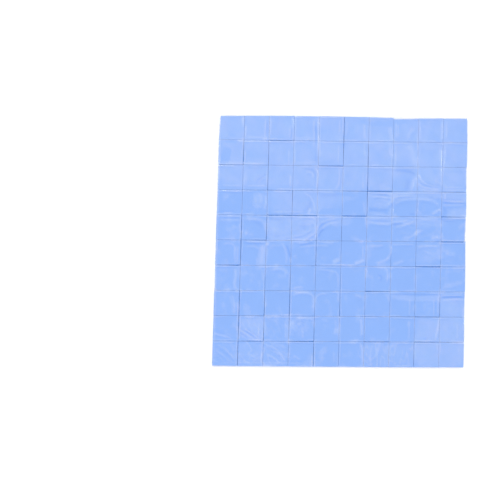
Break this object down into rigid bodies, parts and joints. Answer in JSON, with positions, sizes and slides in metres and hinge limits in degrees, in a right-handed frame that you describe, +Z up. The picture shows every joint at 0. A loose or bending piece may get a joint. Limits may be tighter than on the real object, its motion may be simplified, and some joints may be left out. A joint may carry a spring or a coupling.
{
  "type": "thermal pad sheet",
  "caption": "Flat sheet of soft blue silicone thermal pads, cut into equal squares on a clear base film and covered by a thin clear film.",
  "frame": {"origin": "middle of the base film's underside", "axes": "+Z up out of the sheet towards the cover film, +X across to the right edge, +Y to the far edge"},
  "size_m": [0.1024, 0.1002, 0.0018],
  "materials": {
    "base_film": "clear release film with a soft gloss",
    "pad_silicone": "matte, soft and slightly tacky",
    "cover_film": "thin clear film, glossy, with fine wrinkles"
  },
  "bodies": {
    "root": {"base_film": "base_film", "pad_layer": "pad_silicone", "cover_film": "cover_film"}
  },
  "joints": []
}
